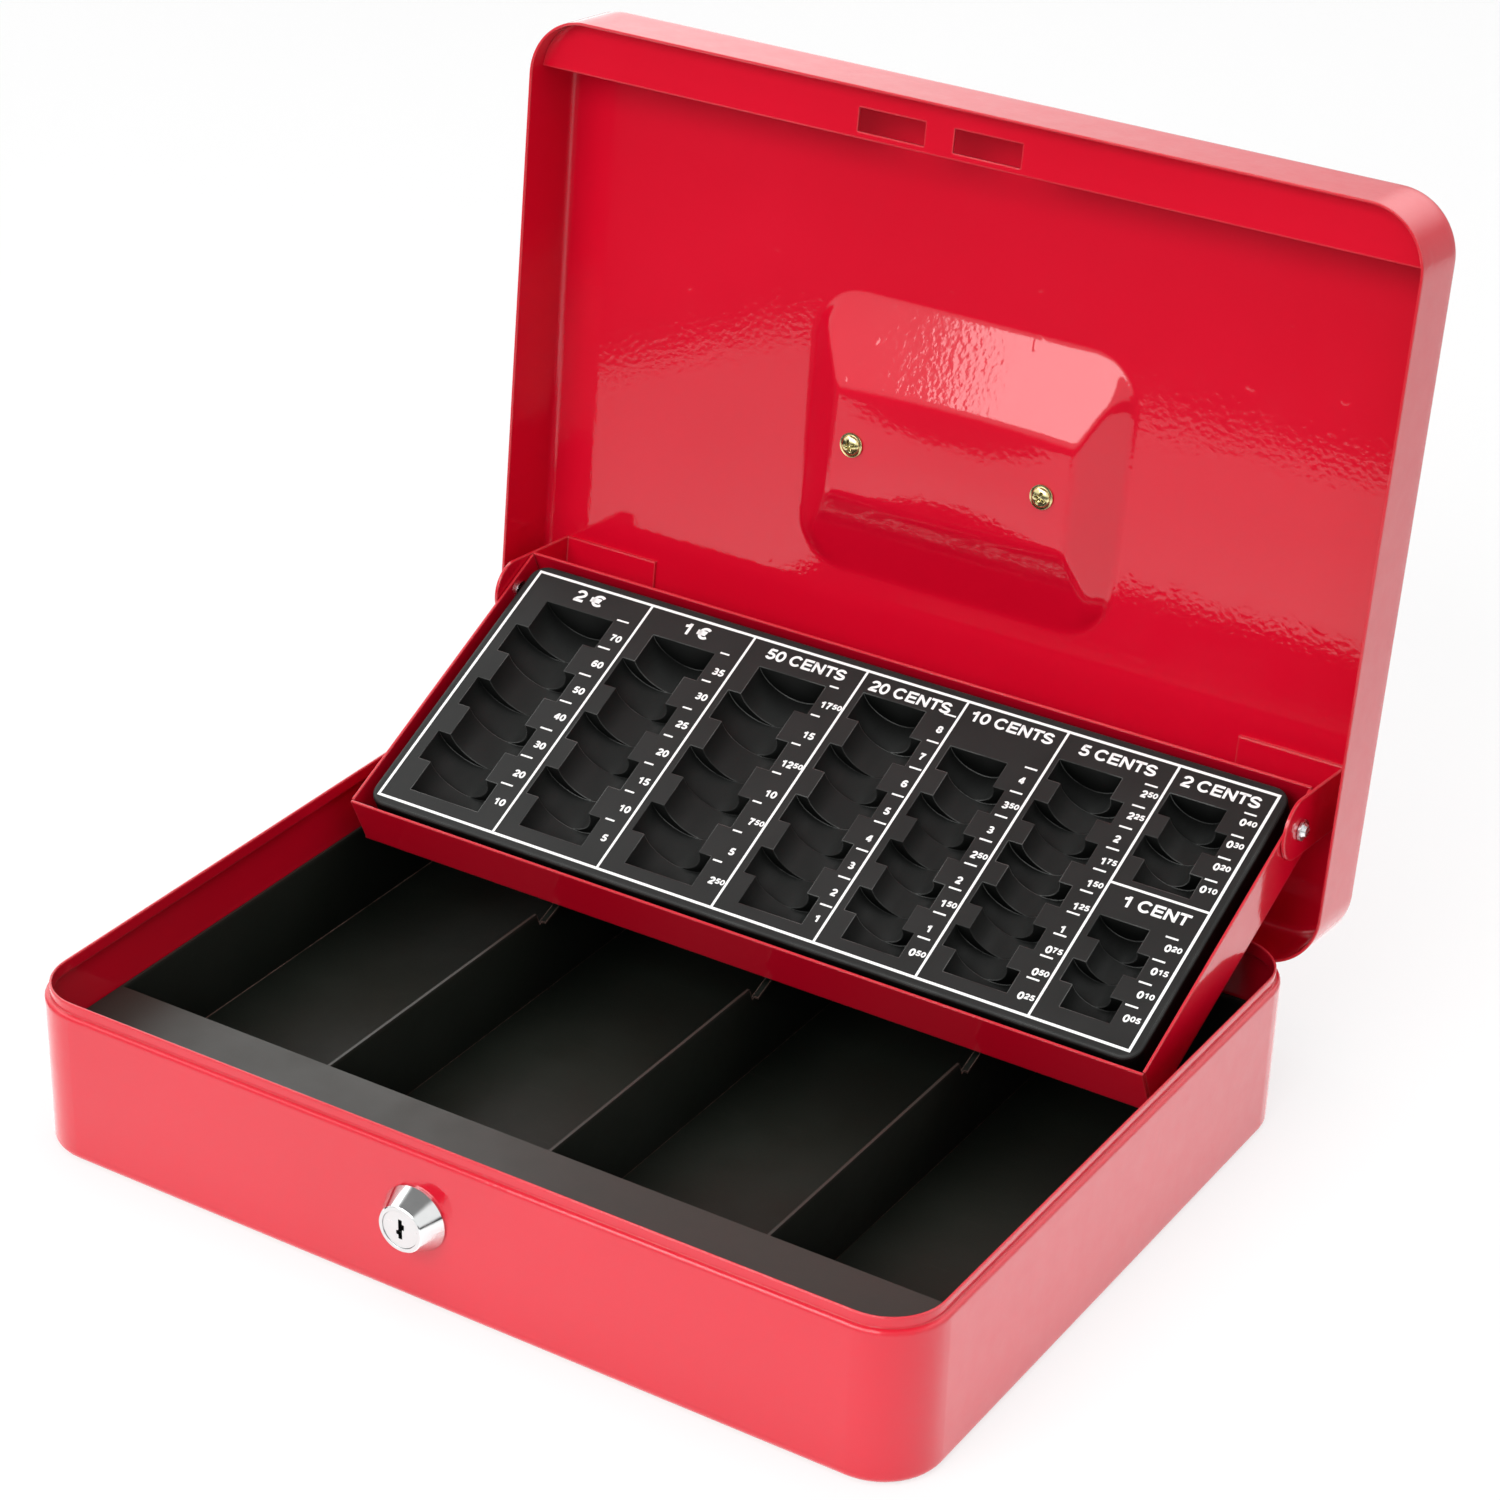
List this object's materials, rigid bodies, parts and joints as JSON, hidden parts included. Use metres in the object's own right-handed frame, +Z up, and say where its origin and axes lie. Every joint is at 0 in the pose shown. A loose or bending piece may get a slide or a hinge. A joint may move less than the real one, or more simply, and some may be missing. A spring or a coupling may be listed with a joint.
{
  "type": "cash box",
  "caption": "Lockable steel cash box, drawn open: hinged lid that lifts a coin tray clear of divided banknote compartments, key lock and folding handle.",
  "frame": {"origin": "centre of the bottom of the base, on the ground plane", "axes": "+X to the right seen from the front (the side with the lock), +Y to the back (the hinge side), +Z up"},
  "size_m": [0.3, 0.2944, 0.2741],
  "materials": {
    "body_paint": "gloss enamel",
    "lid_paint": "gloss enamel",
    "tray_paint": "gloss enamel",
    "lining_black": "matt black lacquer on sheet",
    "insert_black": "fine-grained moulded plastic with white lines and numerals",
    "lock_chrome": "polished",
    "handle_chrome": "polished",
    "zinc_steel": "bright zinc plate",
    "screw_brass": "plain"
  },
  "bodies": {
    "base": {"base_shell": "body_paint", "note_liner": "lining_black", "divider_left": "lining_black", "divider_middle": "lining_black", "divider_right": "lining_black", "lock_body": "lock_chrome", "lock_nut": "zinc_steel", "latch_case": "zinc_steel", "latch_rivets": "zinc_steel", "hinge_base_leaf_left": "body_paint", "hinge_base_leaf_right": "body_paint", "hinge_pins": "zinc_steel", "hinge_rivets_base": "body_paint"},
    "key_plug": {"lock_plug": "lock_chrome", "lock_cam": "zinc_steel", "cam_screw": "zinc_steel"},
    "hook_l": {"hook_left": "zinc_steel"},
    "hook_r": {"hook_right": "zinc_steel"},
    "lid": {"lid_shell": "lid_paint", "lid_lock_strip": "lid_paint", "tray_bracket_left": "lid_paint", "tray_bracket_right": "lid_paint", "hinge_lid_leaf_left": "lid_paint", "hinge_lid_leaf_right": "lid_paint", "hinge_rivets_lid": "lid_paint", "handle_lug_left": "handle_chrome", "handle_lug_right": "handle_chrome", "handle_screws": "screw_brass"},
    "tray": {"tray_pan": "tray_paint", "coin_insert": "insert_black", "tray_rivets": "zinc_steel"},
    "handle": {"handle_bail": "handle_chrome"}
  },
  "joints": [
    {"name": "lid_hinge", "type": "hinge", "parent": "base", "child": "lid", "pos_m": [0, 0.1172, 0.0437], "axis": [1, 0, 0], "range_deg": [0, 95.7]},
    {"name": "tray_pivot", "type": "hinge", "parent": "lid", "child": "tray", "pos_m": [0, 0.12337, 0.08891], "axis": [1, 0, 0], "range_deg": [-120.9, 0.1]},
    {"name": "key_turn", "type": "hinge", "parent": "base", "child": "key_plug", "pos_m": [-0.0076, -0.115, 0.0288], "axis": [0, 1, 0], "range_deg": [0, 90]},
    {"name": "hook_left_pivot", "type": "hinge", "parent": "base", "child": "hook_l", "pos_m": [-0.0156, -0.1034, 0.03], "axis": [0, 1, 0], "range_deg": [-0.1, 78.1]},
    {"name": "hook_right_pivot", "type": "hinge", "parent": "base", "child": "hook_r", "pos_m": [0.0004, -0.1034, 0.03], "axis": [0, 1, 0], "range_deg": [-78.1, 0.1]},
    {"name": "handle_pivot", "type": "hinge", "parent": "lid", "child": "handle", "pos_m": [0.002, 0.15399, 0.15801], "axis": [1, 0, 0], "range_deg": [0, 90]}
  ],
  "couplings": [
    {"joint": "tray_pivot", "follows": "lid_hinge", "ratio": -1.2623},
    {"joint": "hook_left_pivot", "follows": "key_turn", "ratio": 0.86667},
    {"joint": "hook_right_pivot", "follows": "key_turn", "ratio": -0.86667}
  ]
}
